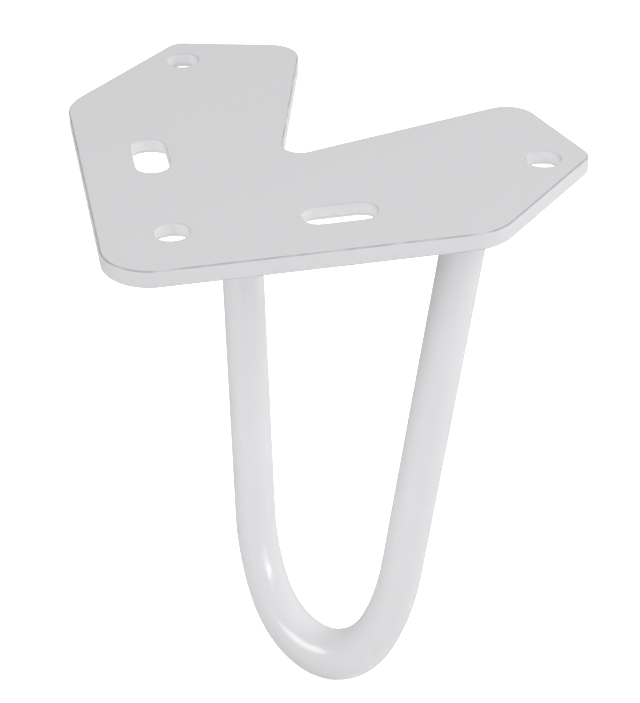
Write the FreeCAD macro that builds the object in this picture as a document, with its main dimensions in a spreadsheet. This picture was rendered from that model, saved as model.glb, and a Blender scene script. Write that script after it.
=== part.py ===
import FreeCAD, Part
import math
import os

import Sketcher

# A welded furniture leg: a chevron plate that goes under the corner of a tabletop, one round bar
# bent to a hairpin, and a fillet weld round each end of the bar. X and Y run along the plate's two
# outer edges, Z is up, and the origin is the centre of the corner screw hole, on the top face.

# Every driving size, in millimetres or degrees
SIZES = {
    # outline of one arm, as sharp corners: how far along the outer edge, and how far in from it
    "arm_edge": 80.0,
    "tip_along": 107.5,
    "tip_in": 28.3,
    "heel_along": 99.0,
    "heel_in": 57.2,
    "notch_in": 42.4,
    # rounding of each of those corners
    "corner_round": 11.0,
    "shoulder_round": 12.0,
    "tip_round": 4.0,
    "heel_round": 7.0,
    "notch_round": 4.0,
    # the sheet metal and its softened rims
    "plate_thickness": 4.0,
    "rim_round": 0.5,
    # screw holes and slots
    "hole_bore": 7.5,
    "hole_line": 15.3,
    "tip_hole_along": 97.0,
    "tip_hole_in": 28.8,
    "slot_middle": 50.0,
    "slot_length": 16.0,
    "countersink": 1.4,
    # the bent bar: where its ends meet the plate, how it leans and how it bends
    "bar_diameter": 10.0,
    "bar_spread": 66.0,
    "bar_setback": 88.0,
    "leg_height": 150.0,
    "lean": 7.7,
    "crown_radius": 14.0,
    "crown_half_angle": 52.0,
    "flank_radius": 50.0,
    # the fillet welds: width of each leg, and how far the top edge stands off the bar
    "weld_leg": 3.5,
    "weld_edge": 0.3,
}

# Sharp corners of the arm that lies along X, from the square corner to the notch
ARM_CORNERS = (
    (None, None),
    ("arm_edge", None),
    ("tip_along", "tip_in"),
    ("heel_along", "heel_in"),
    ("notch_in", "notch_in"),
)
CORNER_ROUNDS = ("corner_round", "shoulder_round", "tip_round", "heel_round", "notch_round")

# The sketcher's own numbers for its two axes, and for the points of a curve
X_AXIS, Y_AXIS = range(-1, -3, -1)
START, END, CENTRE = range(1, 4)
UP = FreeCAD.Vector(0, 0, 1)

doc = FreeCAD.newDocument("hairpin_leg")
sheet = doc.addObject("Spreadsheet::Sheet", "Sizes")
for row, (name, value) in enumerate(SIZES.items(), start=1):
    sheet.set(f"A{row}", name)
    sheet.set(f"B{row}", str(value))
    sheet.setAlias(f"B{row}", name)
doc.recompute()


def size(name):
    """A driving size, with nothing named meaning zero."""
    return float(sheet.get(name)) if name else 0.0


def cell(name):
    return f"Sizes.{name}" if name else None


def new_body(name):
    body = doc.addObject("PartDesign::Body", name)
    body.Label = name
    return body


def from_plate_corner(x, y, z):
    """A place measured from the plate's sharp outer corner, which lies a hole line out each way."""
    return FreeCAD.Vector(x - size("hole_line"), y - size("hole_line"), z)


def origin_plane(body, role):
    return next(f for f in body.Origin.OriginFeatures if f.Role == role)


def new_sketch(body, role, name):
    sketch = body.newObject("Sketcher::SketchObject", name)
    sketch.AttachmentSupport = [(origin_plane(body, role), "")]
    sketch.MapMode = "FlatFace"
    return sketch


def relate(sketch, kind, *where):
    return sketch.addConstraint(Sketcher.Constraint(kind, *where))


def measure(sketch, kind, *where, to):
    """Add a dimension at the value of an expression, and tie it to that expression."""
    value = float(sheet.evalExpression(to))
    index = relate(sketch, kind, *where, math.radians(value) if kind == "Angle" else value)
    sketch.setExpression(f"Constraints[{index}]", to)


def place(sketch, geometry, point, across, up):
    """Tie a point to its distance across and up from the sketch's origin, None meaning on the axis."""
    for kind, axis, to in (("DistanceX", Y_AXIS, across), ("DistanceY", X_AXIS, up)):
        if to:
            measure(sketch, kind, X_AXIS, START, geometry, point, to=to)
        else:
            relate(sketch, "PointOnObject", geometry, point, axis)


def add_circle(sketch, across, up, diameter):
    geometry = sketch.addGeometry(Part.Circle(FreeCAD.Vector(), UP, size(diameter) / 2), False)
    place(sketch, geometry, CENTRE, across, up)
    measure(sketch, "Diameter", geometry, to=cell(diameter))


def cut_through(body, sketch, name):
    """Cut a sketch's shapes right through the body, and make sure that metal went."""
    before = body.Shape.Volume
    pocket = body.newObject("PartDesign::Pocket", name)
    pocket.Profile = sketch
    pocket.Type = "ThroughAll"
    pocket.Midplane = True
    doc.recompute()
    if before - pocket.Shape.Volume < 1.0:
        raise RuntimeError(f"{name} cuts nothing")
    return pocket


# The plate: sheet metal cut to a chevron that is mirrored about its diagonal
def upright_edges(shape, corners):
    """Names of the vertical edges that stand at the given corners."""
    names = []
    for number, edge in enumerate(shape.Edges, start=1):
        middle = edge.CenterOfMass
        if any(math.hypot(middle.x - x, middle.y - y) < 0.01 for x, y in corners):
            names.append(f"Edge{number}")
    return names


def level_faces(shape):
    return [face for face in shape.Faces if abs(face.normalAt(0, 0).z) > 0.99]


def names_of(shape, wanted):
    """Names of the wanted edges within a shape."""
    numbered = enumerate(shape.Edges, start=1)
    return [f"Edge{number}" for number, edge in numbered if any(edge.isSame(other) for other in wanted)]


def rim_edges(shape):
    """Names of the edges round the top face and round the underside."""
    return names_of(shape, [edge for face in level_faces(shape) for edge in face.OuterWire.Edges])


def underside_hole_edges(shape):
    """Names of the edges where the holes and slots open on the underside."""
    underside = min(level_faces(shape), key=lambda face: face.CenterOfMass.z)
    rims = [wire for wire in underside.Wires if not wire.isSame(underside.OuterWire)]
    return names_of(shape, [edge for wire in rims for edge in wire.Edges])


def round_edges(body, base, edges, radius):
    fillet = body.newObject("PartDesign::Fillet", radius)
    fillet.Base = (base, edges)
    fillet.setExpression("Radius", cell(radius))
    doc.recompute()
    return fillet


def add_slot(sketch, swap):
    """A slot on one arm's hole line, as long as its size says and as wide as the round holes."""
    radius, half = size("hole_bore") / 2, (size("slot_length") - size("hole_bore")) / 2
    half_cell = "(Sizes.slot_length - Sizes.hole_bore) / 2"
    first_angle = math.pi if swap else math.pi / 2
    arcs, lines = [], []
    for way, sign in ((-1, "-"), (1, "+")):
        spot = (size("slot_middle") + way * half, size("hole_line"))
        cells = (f"Sizes.slot_middle {sign} {half_cell}", "Sizes.hole_line")
        circle = Part.Circle(FreeCAD.Vector(*(spot[::-1] if swap else spot)), UP, radius)
        angle = first_angle + (math.pi if way > 0 else 0)
        arc = sketch.addGeometry(Part.ArcOfCircle(circle, angle, angle + math.pi), False)
        place(sketch, arc, CENTRE, *(cells[::-1] if swap else cells))
        arcs.append(arc)
    for one, other in zip(arcs, arcs[::-1]):
        ends = sketch.Geometry[one].EndPoint, sketch.Geometry[other].StartPoint
        lines.append(sketch.addGeometry(Part.LineSegment(*ends), False))
        relate(sketch, "Tangent", one, END, lines[-1], START)
        relate(sketch, "Tangent", lines[-1], END, other, START)
    relate(sketch, "Equal", *arcs)
    measure(sketch, "Diameter", arcs[0], to="Sizes.hole_bore")


def mounting_plate():
    body = new_body("mounting_plate")
    corners = ARM_CORNERS + tuple((y, x) for x, y in reversed(ARM_CORNERS[1:-1]))
    points = [FreeCAD.Vector(size(x), size(y), 0) for x, y in corners]
    outline = new_sketch(body, "XY_Plane", "outline")
    for side, (start, end) in enumerate(zip(points, points[1:] + points[:1])):
        outline.addGeometry(Part.LineSegment(start, end), False)
        place(outline, side, START, *(cell(name) for name in corners[side]))
    for side in range(len(corners)):
        relate(outline, "Coincident", side, END, (side + 1) % len(corners), START)
    pad = body.newObject("PartDesign::Pad", "sheet_metal")
    pad.Profile = outline
    pad.Reversed = True
    pad.setExpression("Length", "Sizes.plate_thickness")
    doc.recompute()
    last = pad
    for (x, y), radius in zip(ARM_CORNERS, CORNER_ROUNDS):
        spots = {(size(x), size(y)), (size(y), size(x))}
        last = round_edges(body, last, upright_edges(last.Shape, spots), radius)
    round_edges(body, last, rim_edges(last.Shape), "rim_round")
    holes = new_sketch(body, "XY_Plane", "hole_pattern")
    tip_hole = (cell("tip_hole_along"), cell("tip_hole_in"))
    for spot in ((cell("hole_line"), cell("hole_line")), tip_hole, tip_hole[::-1]):
        add_circle(holes, *spot, "hole_bore")
    cut_through(body, holes, "screw_holes")
    slots = new_sketch(body, "XY_Plane", "slot_pattern")
    for swap in (False, True):
        add_slot(slots, swap)
    last = cut_through(body, slots, "screw_slots")
    sinks = body.newObject("PartDesign::Chamfer", "countersinks")
    sinks.Base = (last, underside_hole_edges(last.Shape))
    sinks.setExpression("Size", "Sizes.countersink")
    doc.recompute()
    body.Placement.Base = from_plate_corner(0, 0, 0)
    return body


# The bar: half a hairpin swept from the crown to one end, and mirrored
DEPTH = "(Sizes.leg_height - Sizes.plate_thickness - Sizes.bar_diameter / 2) / cos(Sizes.lean)"


def hairpin_frame():
    """Where the hairpin's own plane stands: X runs across it, Z up the lean, and the origin lies
    midway between the bar's ends, on the plate's underside."""
    inward = size("bar_setback") / math.sqrt(2)
    origin = from_plate_corner(inward, inward, -size("plate_thickness"))
    turn = FreeCAD.Rotation(UP, -45) * FreeCAD.Rotation(FreeCAD.Vector(1, 0, 0), -size("lean"))
    return FreeCAD.Placement(origin, turn)


def on_circle(centre, radius, angle):
    return centre + FreeCAD.Vector(math.cos(angle), math.sin(angle), 0) * radius


def hairpin_path(body, depth):
    """Centre line of one half: crown arc, flank arc and a straight leg that aims at the bar's place
    on the plate and runs past it by one diameter, to be trimmed there."""
    crown, flank = size("crown_radius"), size("flank_radius")
    seat = FreeCAD.Vector(size("bar_spread") / 2, 0, 0)
    joint = math.radians(size("crown_half_angle") - 90)
    crown_centre = FreeCAD.Vector(0, crown - depth, 0)
    flank_centre = on_circle(crown_centre, crown - flank, joint)
    aim = seat - flank_centre
    lift_off = math.atan2(aim.y, aim.x) - math.acos(flank / aim.Length)
    foot = on_circle(flank_centre, flank, lift_off)
    end = seat + (seat - foot).normalize() * size("bar_diameter")

    path = new_sketch(body, "XZ_Plane", "centre_line")
    crown_arc = Part.ArcOfCircle(Part.Circle(crown_centre, UP, crown), -math.pi / 2, joint)
    flank_arc = Part.ArcOfCircle(Part.Circle(flank_centre, UP, flank), joint, lift_off)
    straight = Part.LineSegment(foot, end)
    bottom, side, leg = (path.addGeometry(curve, False) for curve in (crown_arc, flank_arc, straight))
    target = path.addGeometry(Part.Point(seat), True)
    place(path, bottom, START, None, f"-{DEPTH}")
    relate(path, "PointOnObject", bottom, CENTRE, Y_AXIS)
    relate(path, "Tangent", bottom, END, side, START)
    relate(path, "Tangent", side, END, leg, START)
    place(path, target, START, "Sizes.bar_spread / 2", None)
    relate(path, "PointOnObject", target, START, leg)
    measure(path, "Radius", bottom, to="Sizes.crown_radius")
    measure(path, "Angle", bottom, to="Sizes.crown_half_angle")
    measure(path, "Radius", side, to="Sizes.flank_radius")
    measure(path, "DistanceY", X_AXIS, START, leg, END, to="Sizes.bar_diameter")
    return path


def trim_to_plate(body):
    """Cut the bar's ends off along the plate's underside, which crosses the leaning hairpin."""
    slope, reach = math.radians(size("lean")), size("bar_diameter")
    along = FreeCAD.Vector(math.cos(slope), math.sin(slope), 0) * 2 * reach
    lift = FreeCAD.Vector(-math.sin(slope), math.cos(slope), 0) * 2 * reach
    ring = (-along, along, along + lift, lift - along)
    sketch = new_sketch(body, "YZ_Plane", "plate_underside")
    for side in range(4):
        sketch.addGeometry(Part.LineSegment(ring[side], ring[(side + 1) % 4]), False)
    for side in range(4):
        relate(sketch, "Coincident", side, END, (side + 1) % 4, START)
    for side in range(1, 4):
        relate(sketch, "Perpendicular", side - 1, side)
    relate(sketch, "Symmetric", 0, START, 0, END, X_AXIS, START)
    measure(sketch, "Angle", X_AXIS, START, 0, START, to="Sizes.lean")
    measure(sketch, "Distance", 0, to="4 * Sizes.bar_diameter")
    measure(sketch, "Distance", 1, to="2 * Sizes.bar_diameter")
    cut_through(body, sketch, "end_trim")


def hairpin_rod():
    body = new_body("hairpin_rod")
    legs_height = size("leg_height") - size("plate_thickness") - size("bar_diameter") / 2
    path = hairpin_path(body, legs_height / math.cos(math.radians(size("lean"))))
    section = new_sketch(body, "YZ_Plane", "bar_section")
    add_circle(section, None, f"-{DEPTH}", "bar_diameter")
    sweep = body.newObject("PartDesign::AdditivePipe", "half_bar")
    sweep.Profile = section
    sweep.Spine = (path, [])
    doc.recompute()
    mirror = body.newObject("PartDesign::Mirrored", "other_half")
    mirror.Originals = [sweep]
    mirror.MirrorPlane = (origin_plane(body, "YZ_Plane"), [""])
    body.Tip = mirror
    doc.recompute()
    trim_to_plate(body)
    body.Placement = hairpin_frame()
    doc.recompute()
    leg = path.Geometry[2]
    return body, FreeCAD.Vector(leg.EndPoint.x - leg.StartPoint.x, 0, leg.EndPoint.y - leg.StartPoint.y)


# The welds: a flat-faced fillet round each slanting end, lofted on circles that follow the bar down
def weld(name, leg_direction, way):
    frame = hairpin_frame()
    seat = frame.multVec(FreeCAD.Vector(way * size("bar_spread") / 2, 0, 0))
    up_bar = frame.Rotation.multVec(FreeCAD.Vector(way * leg_direction.x, 0, leg_direction.z))
    up_bar /= up_bar.z
    bar_radius = "Sizes.bar_diameter / 2"
    rings = []
    for down, reach in ((0.0, "Sizes.weld_leg"), (size("weld_leg"), "Sizes.weld_edge")):
        ring = doc.addObject("Part::Circle", f"{name}_ring")
        ring.setExpression("Radius", f"{bar_radius} + {reach}")
        ring.Placement.Base = seat - up_bar * down
        rings.append(ring)
    fillet = doc.addObject("Part::Loft", f"{name}_fillet")
    fillet.Sections = rings
    fillet.Solid = True
    bar = doc.addObject("Part::Cylinder", f"{name}_bar")
    bar.setExpression("Radius", bar_radius)
    bar.setExpression("Height", "4 * Sizes.weld_leg")
    bar.Placement = FreeCAD.Placement(
        seat - up_bar * 2 * size("weld_leg"), FreeCAD.Rotation(UP, up_bar)
    )
    bead = doc.addObject("Part::Cut", name)
    bead.Base = fillet
    bead.Tool = bar
    bead.Label = name
    return bead


plate = mounting_plate()
rod, leg_direction = hairpin_rod()
pieces = [plate, rod, weld("right_weld", leg_direction, 1), weld("left_weld", leg_direction, -1)]
doc.recompute()

for thing in doc.Objects:
    if {"Invalid", "Error"} & set(thing.State):
        raise RuntimeError(f"{thing.Label} did not build")
for piece in pieces:
    if piece.Shape.isNull() or not piece.Shape.isValid() or len(piece.Shape.Solids) != 1:
        raise RuntimeError(f"{piece.Label} is not one sound solid")

os.makedirs("parts", exist_ok=True)
for piece in pieces:
    piece.Shape.exportStep(f"parts/{piece.Label}.step")
    print(f"{piece.Label}: {piece.Shape.Volume:.0f} mm3")
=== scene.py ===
import math

import bmesh
import bpy
from mathutils import Euler, Matrix, Vector


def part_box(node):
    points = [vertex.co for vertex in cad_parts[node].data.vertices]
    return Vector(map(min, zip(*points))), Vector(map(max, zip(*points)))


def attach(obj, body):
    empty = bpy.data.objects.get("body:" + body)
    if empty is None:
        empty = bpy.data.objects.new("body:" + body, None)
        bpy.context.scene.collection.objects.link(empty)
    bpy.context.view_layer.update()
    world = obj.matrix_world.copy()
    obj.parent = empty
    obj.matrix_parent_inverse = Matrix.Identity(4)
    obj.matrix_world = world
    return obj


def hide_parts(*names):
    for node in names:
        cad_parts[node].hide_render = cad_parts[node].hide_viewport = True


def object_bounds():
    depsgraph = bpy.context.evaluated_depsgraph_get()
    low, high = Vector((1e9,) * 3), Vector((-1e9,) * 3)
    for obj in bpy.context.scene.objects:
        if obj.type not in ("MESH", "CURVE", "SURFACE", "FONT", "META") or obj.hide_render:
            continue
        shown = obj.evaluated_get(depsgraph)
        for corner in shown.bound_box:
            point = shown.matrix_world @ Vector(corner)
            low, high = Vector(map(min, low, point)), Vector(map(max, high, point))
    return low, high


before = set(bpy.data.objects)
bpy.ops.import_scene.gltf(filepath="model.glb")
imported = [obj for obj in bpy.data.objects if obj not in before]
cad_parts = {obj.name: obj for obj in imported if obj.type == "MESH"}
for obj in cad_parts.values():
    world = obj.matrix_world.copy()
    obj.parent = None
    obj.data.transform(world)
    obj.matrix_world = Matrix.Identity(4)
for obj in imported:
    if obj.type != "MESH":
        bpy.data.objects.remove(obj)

# A short hairpin furniture leg in white powder coat, on a pale studio floor: a corner plate with
# screw holes and slots, one round bar bent to a loop, and a weld run round each end of the bar.
cad_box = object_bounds()

MM = 0.001
UP = Vector((0, 0, 1))

# The photograph: its size and the fitted focal length in pixels, and where its camera stood
PHOTO_WIDE, PHOTO_HIGH = 640, 703
FOCAL_PIXELS = 2206.9
FILM_MM = 36.0
CAMERA_PLACE_MM = (-39.28, -391.03, 216.38)
CAMERA_TURN = (57.867, 1.372, -10.877)

# The plate's underside, as the frame has it, and the rims that the coat softens: how sharply an edge
# has to fold to be one, and how wide its rounding is
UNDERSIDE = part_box("mounting_plate")[0].z
RIM_STEPS = 3
HOLE_RIM_FOLD, HOLE_RIM_ROUND = math.radians(60), 0.3 * MM
SINK_RIM_FOLD, SINK_RIM_ROUND = math.radians(30), 0.15 * MM

# The coat, and the grey of the painted shade laid over it. The three greys are shares of that grey:
# the painted shade line at the plate's outer rims, the fainter one at its holes, and the painted shade
# all over its cut outer wall.
COAT = "#DDDCDE"
PAINTED_SHADE_GREY = "#B4B3B6"
OUTER_RIM_GREY = 1.0
HOLE_RIM_GREY = 0.4
CUT_WALL_SHADE = 0.19
# The grey line of painted shade at a rim is drawn wider than a real one would be, so that it shows.
# It runs on the wall, just below the face, is full over the outer share of its width, and breaks up
# where a noise is low.
RIM_LINE = 0.42 * MM
RIM_LINE_FULL = 0.6
FACE_ENDS, WALL_STARTS = 0.01 * MM, 0.05 * MM
BREAKS_APART = 7 * MM
BROKEN_BELOW, WHOLE_ABOVE = 0.35, 0.55
LEFT_IN_A_BREAK = 0.45
# Orange peel has bumps 1 to 3 mm apart that are a few thousandths of a millimetre high
PEEL_PITCH = 1.6 * MM
PEEL_HEIGHT = 0.02 * MM
PEEL_STRENGTH = 0.25
SATIN = 0.12
SHINE = 0.3

# The bent bar. Its bend is drawn out downwards, as in the photograph, where it is thicker than the legs.
BAR_RADIUS = 5.0 * MM
BAR_SPREAD = 66.0 * MM
CROWN_RADIUS = 19.4 * MM
FLANK_RADIUS = 37.0 * MM
CROWN_HALF_ANGLE = math.radians(58.0)
LEAN = math.radians(7.7)
BEND_DRAWN_OUT = 1.40
RING_SIDES = 64
RING_TURN = math.radians(2.0)

# The weld runs: legs of the fillet, how far its face swells, and one ripple for each stop of the torch
BEAD_LEG = 3.5 * MM
BEAD_SWELL = 0.45 * MM
BEAD_INTO_BAR = 0.2 * MM
FACE_STEPS = 8
RIPPLE_PITCH = 1.4 * MM
RIPPLE_DEPTH = 0.17 * MM
RIPPLE_BOW = 5.0 * math.pi
STEPS_A_RIPPLE = 8

# Corners nearer than this are one corner, and those within this of a level are on it. Faces that fold
# by less than this are one flat face, and an edge that folds by less than this is shaded as a curve.
SAME_CORNER = 0.001 * MM
SAME_LEVEL = 0.01 * MM
SAME_FLAT = math.radians(0.5)
SMOOTH_UP_TO = math.radians(40)

scene = bpy.context.scene
scene.view_settings.view_transform = "Standard"


def link(obj):
    scene.collection.objects.link(obj)
    return obj


def colour(code):
    """An sRGB hex value as linear red, green, blue and alpha."""
    shares = [int(code[i:i + 2], 16) / 255 for i in (1, 3, 5)]
    return tuple(s / 12.92 if s <= 0.04045 else ((s + 0.055) / 1.055) ** 2.4 for s in shares) + (1.0,)


def node(tree, kind, settings=(), **links):
    """Add a node with its settings and sockets. A socket takes a number, a colour or another output."""
    made = tree.nodes.new(kind)
    for name, value in dict(settings).items():
        setattr(made, name, value)
    for name, value in links.items():
        key = int(name[1:]) if name[0] == "_" else name.replace("_", " ")
        if isinstance(value, bpy.types.NodeSocket):
            tree.links.new(value, made.inputs[key])
        else:
            made.inputs[key].default_value = value
    return made


def new_material(name):
    material = bpy.data.materials.new(name)
    material.use_nodes = True
    material.node_tree.nodes.clear()
    return material, material.node_tree


# Camera
eye = bpy.data.cameras.new("camera")
eye.sensor_width = FILM_MM
eye.lens = FOCAL_PIXELS * FILM_MM / max(PHOTO_WIDE, PHOTO_HIGH)
camera = link(bpy.data.objects.new("camera", eye))
camera.location = Vector(CAMERA_PLACE_MM) * MM
camera.rotation_euler = Euler([math.radians(angle) for angle in CAMERA_TURN])
scene.camera = camera


# Finishes
def powder_coat():
    """White polyester powder, sprayed on steel and baked: an even satin skin with a faint orange peel.
    Over it lies painted shade: the plate's cut outer wall is a touch greyer than the faces, and a thin
    broken grey line of painted shade runs along the rims, fainter at the holes."""
    material, tree = new_material("white_powder_coat")
    place = node(tree, "ShaderNodeTexCoord").outputs["Object"]
    cut_rim = node(tree, "ShaderNodeAttribute", {"attribute_name": "cut_rim"}).outputs["Fac"]

    # How far a place is from the middle of the sheet, which tells the rims, the walls and the faces
    height = node(tree, "ShaderNodeSeparateXYZ", Vector=place).outputs["Z"]
    above_middle = node(tree, "ShaderNodeMath", {"operation": "SUBTRACT"}, _0=height, _1=UNDERSIDE / 2)
    off_middle = node(tree, "ShaderNodeMath", {"operation": "ABSOLUTE"}, _0=above_middle.outputs[0])
    face = abs(UNDERSIDE / 2)
    near_face = node(tree, "ShaderNodeMapRange", {"interpolation_type": "SMOOTHSTEP"},
                     Value=off_middle.outputs[0], From_Min=face - RIM_LINE,
                     From_Max=face - RIM_LINE * RIM_LINE_FULL)
    off_face = node(tree, "ShaderNodeMapRange", {"interpolation_type": "SMOOTHSTEP"},
                    Value=off_middle.outputs[0], From_Min=face - FACE_ENDS, From_Max=face - WALL_STARTS)

    # The broken line of painted shade at the rims
    wander = node(tree, "ShaderNodeTexNoise", Vector=place, Scale=1 / BREAKS_APART, Detail=2.0)
    broken = node(tree, "ShaderNodeMapRange", Value=wander.outputs[0], From_Min=BROKEN_BELOW,
                  From_Max=WHOLE_ABOVE, To_Min=LEFT_IN_A_BREAK, To_Max=1.0)
    line = node(tree, "ShaderNodeMath", {"operation": "MULTIPLY"}, _0=near_face.outputs[0],
                _1=off_face.outputs[0])
    broken_line = node(tree, "ShaderNodeMath", {"operation": "MULTIPLY"}, _0=line.outputs[0],
                       _1=broken.outputs[0])
    on_rims = node(tree, "ShaderNodeMath", {"operation": "MULTIPLY"}, _0=broken_line.outputs[0],
                   _1=cut_rim)

    # The even painted shade of the cut outer wall, and both over the coat's own colour
    on_outside = node(tree, "ShaderNodeMapRange", Value=cut_rim, From_Min=HOLE_RIM_GREY,
                      From_Max=OUTER_RIM_GREY, To_Min=0.0, To_Max=CUT_WALL_SHADE)
    on_wall = node(tree, "ShaderNodeMath", {"operation": "MULTIPLY"}, _0=on_outside.outputs[0],
                   _1=off_face.outputs[0])
    grey = node(tree, "ShaderNodeMath", {"operation": "MAXIMUM"}, _0=on_rims.outputs[0],
                _1=on_wall.outputs[0])
    paint = node(tree, "ShaderNodeMix", {"data_type": "RGBA"}, _0=grey.outputs[0], _6=colour(COAT),
                 _7=colour(PAINTED_SHADE_GREY))

    peel = node(tree, "ShaderNodeTexNoise", Vector=place, Scale=1 / PEEL_PITCH, Detail=1.5)
    bump = node(tree, "ShaderNodeBump", Height=peel.outputs[0], Strength=PEEL_STRENGTH,
                Distance=PEEL_HEIGHT)
    skin = node(tree, "ShaderNodeBsdfPrincipled", Base_Color=paint.outputs[2], Roughness=SATIN,
                IOR=1.5, Specular_IOR_Level=SHINE, Normal=bump.outputs[0])
    node(tree, "ShaderNodeOutputMaterial", Surface=skin.outputs[0])
    return material


def studio_paper(name, glow):
    """Matt white paper. What the camera sees of it is lit from behind, as on a light table, so that it
    comes out as plain white."""
    material, tree = new_material(name)
    paper = node(tree, "ShaderNodeBsdfPrincipled", Base_Color=colour("#F4F4F4"), Roughness=0.9,
                 Emission_Color=colour("#FFFFFF"), Emission_Strength=glow)
    node(tree, "ShaderNodeOutputMaterial", Surface=paper.outputs[0])
    return material


# Pieces
def make_object(mesh, name, material):
    data = bpy.data.meshes.new(name)
    mesh.to_mesh(data)
    mesh.free()
    data.materials.append(material)
    return link(bpy.data.objects.new(name, data))


def finish_piece(mesh, name, stands_for, material):
    """Turn a mesh into a piece that stands for a CAD node and rides with it."""
    bmesh.ops.recalc_face_normals(mesh, faces=mesh.faces)
    for face in mesh.faces:
        face.smooth = True
    for edge in mesh.edges:
        edge.smooth = len(edge.link_faces) == 2 and edge.calc_face_angle() < SMOOTH_UP_TO
    piece = make_object(mesh, name, material)
    shading = piece.modifiers.new("flat faces stay flat", "WEIGHTED_NORMAL")
    shading.keep_sharp = True
    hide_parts(stands_for)
    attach(piece, "root")
    return piece


def walls_below(rims):
    """Corners of the walls that go down from these rims."""
    found = {corner for edge in rims for corner in edge.verts}
    waiting = list(found)
    for corner in waiting:
        for edge in corner.link_edges:
            other = edge.other_vert(corner)
            if other not in found and other.co.z < corner.co.z - SAME_LEVEL:
                found.add(other)
                waiting.append(other)
    return found


def dress_plate(material):
    """The plate's own mesh, with the rims of its holes, slots and countersinks softened by the coat.
    Each corner keeps how strong the painted shade is at its rim."""
    mesh = bmesh.new()
    mesh.from_mesh(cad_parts["mounting_plate"].data)
    bmesh.ops.remove_doubles(mesh, verts=mesh.verts, dist=SAME_CORNER)
    bmesh.ops.dissolve_limit(mesh, angle_limit=SAME_FLAT, verts=mesh.verts, edges=mesh.edges)
    cut_rim = mesh.verts.layers.float.new("cut_rim")
    for corner in mesh.verts:
        corner[cut_rim] = OUTER_RIM_GREY
    for level, fold, width in ((0.0, HOLE_RIM_FOLD, HOLE_RIM_ROUND),
                               (UNDERSIDE, SINK_RIM_FOLD, SINK_RIM_ROUND)):
        rims = [edge for edge in mesh.edges
                if len(edge.link_faces) == 2 and edge.calc_face_angle() > fold
                and all(abs(corner.co.z - level) < SAME_LEVEL for corner in edge.verts)]
        for corner in walls_below(rims):
            corner[cut_rim] = HOLE_RIM_GREY
        softened = bmesh.ops.bevel(mesh, geom=rims, offset=width, offset_type="OFFSET",
                                   segments=RIM_STEPS, profile=0.5, affect="EDGES",
                                   clamp_overlap=True, material=-1)
        for corner in softened["verts"]:
            corner[cut_rim] = HOLE_RIM_GREY
    bmesh.ops.triangulate(mesh, faces=[face for face in mesh.faces if len(face.verts) > 4])
    return finish_piece(mesh, "coated_plate", "mounting_plate", material)


def weld_seat(side):
    """The middle of a weld, on the plate's underside."""
    low, high = (Vector(corner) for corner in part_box(f"{side}_weld"))
    return Vector(((low.x + high.x) / 2, (low.y + high.y) / 2, UNDERSIDE))


def hairpin_frame():
    """The hairpin's own plane: X runs across it, Z up its lean, and the origin lies midway between
    the bar's ends on the plate's underside, which the two welds give."""
    middle = (weld_seat("right") + weld_seat("left")) / 2
    across_the_corner = Matrix.Rotation(math.radians(-45), 4, "Z")
    return Matrix.Translation(middle) @ across_the_corner @ Matrix.Rotation(-LEAN, 4, "X")


def outwards(turn):
    """Which way the outside of the bend faces, so far on from its lowest point."""
    return Vector((math.sin(turn), 0, -math.cos(turn)))


def outline_of_the_bend():
    """Centres of the crown arc and of the flank arc, and the turn at which the straight leg starts,
    before the bend is drawn out downwards."""
    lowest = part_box("hairpin_rod")[0].z
    reach = math.hypot(BEND_DRAWN_OUT * BAR_RADIUS * math.cos(LEAN), BAR_RADIUS * math.sin(LEAN))
    depth = (UNDERSIDE - lowest - reach) / math.cos(LEAN) / BEND_DRAWN_OUT
    crown = Vector((0, 0, CROWN_RADIUS - depth))
    flank = crown + outwards(CROWN_HALF_ANGLE) * (CROWN_RADIUS - FLANK_RADIUS)
    aim = Vector((BAR_SPREAD / 2, 0, 0)) - flank
    last_turn = math.pi / 2 + math.atan2(aim.z, aim.x) - math.acos(FLANK_RADIUS / aim.length)
    return crown, flank, last_turn


def swing(mesh, ring, centre, angle):
    """Spin the bar's open end round an arc of the bend and give the new open end."""
    spun = bmesh.ops.spin(mesh, geom=ring, cent=centre, axis=(0, -1, 0), angle=angle,
                          steps=math.ceil(angle / RING_TURN))
    return spun["geom_last"]


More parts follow.
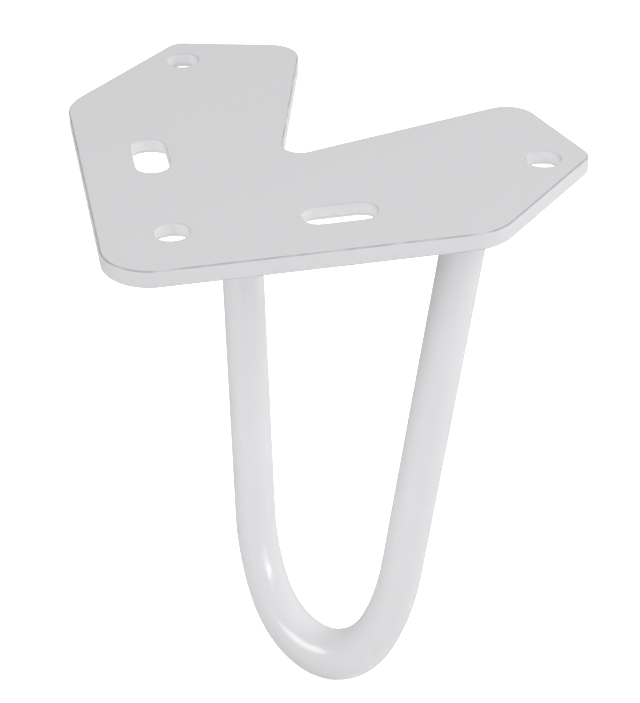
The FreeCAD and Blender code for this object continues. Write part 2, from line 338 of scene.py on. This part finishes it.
def bent_bar(material):
    """Half the bar, from the lowest point up: a circle swung round the crown and the flank and drawn
    out to the plate. Then its mirror image, and a cut along the plate's underside."""
    crown, flank, last_turn = outline_of_the_bend()
    mesh = bmesh.new()
    lowest = Matrix.Translation(crown + outwards(0) * CROWN_RADIUS)
    bmesh.ops.create_circle(mesh, cap_ends=False, segments=RING_SIDES, radius=BAR_RADIUS,
                            matrix=lowest @ Matrix.Rotation(math.pi / 2, 4, "Y"))
    ring = swing(mesh, mesh.verts[:] + mesh.edges[:], crown, CROWN_HALF_ANGLE)
    ring = swing(mesh, ring, flank, last_turn - CROWN_HALF_ANGLE)
    edges = [edge for edge in ring if isinstance(edge, bmesh.types.BMEdge)]
    leg = bmesh.ops.extrude_edge_only(mesh, edges=edges)["geom"]
    leg_end = [corner for corner in leg if isinstance(corner, bmesh.types.BMVert)]
    rise = Vector((BAR_SPREAD / 2, 0, 0)) - flank - outwards(last_turn) * FLANK_RADIUS
    bmesh.ops.translate(mesh, verts=leg_end, vec=rise + rise.normalized() * 2 * BAR_RADIUS)
    bmesh.ops.mirror(mesh, geom=mesh.verts[:] + mesh.edges[:] + mesh.faces[:], axis="X",
                     merge_dist=SAME_CORNER)
    bmesh.ops.scale(mesh, verts=mesh.verts, vec=(1, 1, BEND_DRAWN_OUT))
    bmesh.ops.transform(mesh, verts=mesh.verts, matrix=hairpin_frame())
    bmesh.ops.bisect_plane(mesh, geom=mesh.verts[:] + mesh.edges[:] + mesh.faces[:],
                           dist=SAME_CORNER / 10, plane_co=(0, 0, UNDERSIDE), plane_no=UP,
                           clear_outer=True)
    bmesh.ops.holes_fill(mesh, edges=[edge for edge in mesh.edges if edge.is_boundary], sides=0)
    return finish_piece(mesh, "bent_bar", "hairpin_rod", material)


def bead_profile(mesh):
    """The section of a weld run: its face, from the plate down to the bar, and its back inside the bar.
    The face swells at right angles to its slope of 45 degrees."""
    corners = []
    for number in range(FACE_STEPS + 1):
        share = number / FACE_STEPS
        swell = BEAD_SWELL * math.sin(math.pi * share) * math.cos(math.pi / 4)
        out = BAR_RADIUS + BEAD_LEG * (1 - share) + swell
        down = min(BEAD_LEG * share + swell, BEAD_LEG)
        corners.append(mesh.verts.new((out, 0, -down)))
    for down in (BEAD_LEG, 0):
        corners.append(mesh.verts.new((BAR_RADIUS - BEAD_INTO_BAR, 0, -down)))
    return corners + [mesh.edges.new(pair) for pair in zip(corners, corners[1:] + corners[:1])]


def weld_bead(side, material):
    """A fillet run round one end of the bar, that follows its lean. It has a crescent for each stop of
    the torch, deepest in the middle of the run and gone at the plate and at the bar."""
    seat = weld_seat(side)
    way = 1 if side == "right" else -1
    *_, last_turn = outline_of_the_bend()
    leg = outwards(last_turn + math.pi / 2)
    lean = hairpin_frame().to_3x3() @ Vector((way * leg.x, 0, leg.z * BEND_DRAWN_OUT))
    lean /= lean.z
    girth = 2 * math.pi * (BAR_RADIUS + BEAD_LEG / 2)
    ripples = round(girth / RIPPLE_PITCH)
    mesh = bmesh.new()
    bmesh.ops.spin(mesh, geom=bead_profile(mesh), cent=(0, 0, 0), axis=UP, angle=2 * math.pi,
                   steps=ripples * STEPS_A_RIPPLE, use_merge=True)
    bmesh.ops.remove_doubles(mesh, verts=mesh.verts, dist=SAME_CORNER)
    for corner in mesh.verts:
        out = Vector((corner.co.x, corner.co.y, 0))
        share = -corner.co.z / BEAD_LEG
        free = 4 * share * (1 - share) if out.length > BAR_RADIUS else 0.0
        crescent = math.atan2(out.y, out.x) * ripples + RIPPLE_BOW * (share - 0.5) ** 2
        out += out.normalized() * RIPPLE_DEPTH * free * abs(math.sin(crescent / 2))
        corner.co = seat + out + lean * corner.co.z
    return finish_piece(mesh, f"{side}_weld_bead", f"{side}_weld", material)


# Light: an even white tent with softboxes round it, and two low boxes that only show as glints. The
# tent shows in the coat's shine and doesn't light it otherwise.
TENT_GLOW = 0.6
STUDIO_REACH = 4.0
CARD_BELOW_FLOOR = 0.2 * MM
OBJECT_MIDDLE = Vector((30, 30, -80)) * MM
LEFT_OF_THE_BEND = Vector((29.3, 32.5, -138.6)) * MM
FRONT_OF_THE_BEND = Vector((22.7, 44.1, -121.9)) * MM
# What each box is aimed at, its direction from there in degrees of azimuth and height, its distance,
# width and height in millimetres, how bright it is beside white paper, and whether it is seen as a glint
BOXES = {
    "left_box": (OBJECT_MIDDLE, (180, 35), 1200, 800, 800, 3.56, False),
    "right_box": (OBJECT_MIDDLE, (0, 35), 1200, 800, 800, 3.35, False),
    "front_box": (OBJECT_MIDDLE, (-90, 35), 1200, 800, 800, 3.52, False),
    "back_right_box": (OBJECT_MIDDLE, (45, 35), 1200, 800, 800, 2.17, False),
    "low_front_box": (OBJECT_MIDDLE, (-60, 12), 1220, 800, 640, 1.57, False),
    "front_glint": (FRONT_OF_THE_BEND, (-74, -1), 1500, 790, 250, 12.0, True),
    "left_glint": (LEFT_OF_THE_BEND, (-156, 6), 1500, 900, 600, 8.0, True),
}


def add_box(name, aim, way, distance, wide, high, brightness, glint):
    """A softbox that faces what it is aimed at, and shows as a glint or lights the object, not both."""
    lamp = bpy.data.lights.new(name, "AREA")
    lamp.shape = "RECTANGLE"
    lamp.size, lamp.size_y = wide * MM, high * MM
    lamp.energy = brightness * math.pi * lamp.size * lamp.size_y
    azimuth, height = (math.radians(angle) for angle in way)
    to_box = Vector((math.cos(azimuth) * math.cos(height), math.sin(azimuth) * math.cos(height),
                     math.sin(height)))
    box = link(bpy.data.objects.new(name, lamp))
    box.location = aim + to_box * distance * MM
    box.rotation_euler = to_box.to_track_quat("Z", "Y").to_euler()
    box.visible_camera = False
    box.visible_glossy = glint
    box.visible_diffuse = not glint


def flat_sheet(name, height, material):
    mesh = bmesh.new()
    bmesh.ops.create_grid(mesh, x_segments=1, y_segments=1, size=STUDIO_REACH,
                          matrix=Matrix.Translation((0, 0, height)))
    return make_object(mesh, name, material)


def dome(name, height, material):
    mesh = bmesh.new()
    bmesh.ops.create_uvsphere(mesh, u_segments=32, v_segments=16, radius=STUDIO_REACH,
                              matrix=Matrix.Translation((0, 0, height)))
    return make_object(mesh, name, material)


def studio():
    """The boxes and the tent, a plain white floor and dome that only the camera sees, and under the
    floor a card that throws light back up at the object."""
    for name, values in BOXES.items():
        add_box(name, *values)
    tent = bpy.data.worlds.new("tent")
    tent.use_nodes = True
    glow = tent.node_tree.nodes["Background"]
    glow.inputs["Color"].default_value = colour("#FFFFFF")
    glow.inputs["Strength"].default_value = TENT_GLOW
    tent.cycles_visibility.diffuse = False
    scene.world = tent
    floor_level = cad_box[0].z
    shown_paper = studio_paper("shown_white_paper", 1.0)
    floor = flat_sheet("studio_floor", floor_level, shown_paper)
    backdrop = dome("studio_dome", floor_level, shown_paper)
    card = flat_sheet("bounce_card", floor_level - CARD_BELOW_FLOOR, studio_paper("bounce_card", 0.0))
    for paper in (floor, backdrop):
        paper.visible_diffuse = paper.visible_glossy = paper.visible_shadow = False
    card.visible_camera = card.visible_shadow = False


coat = powder_coat()
dress_plate(coat)
bent_bar(coat)
for side in ("right", "left"):
    weld_bead(side, coat)
studio()
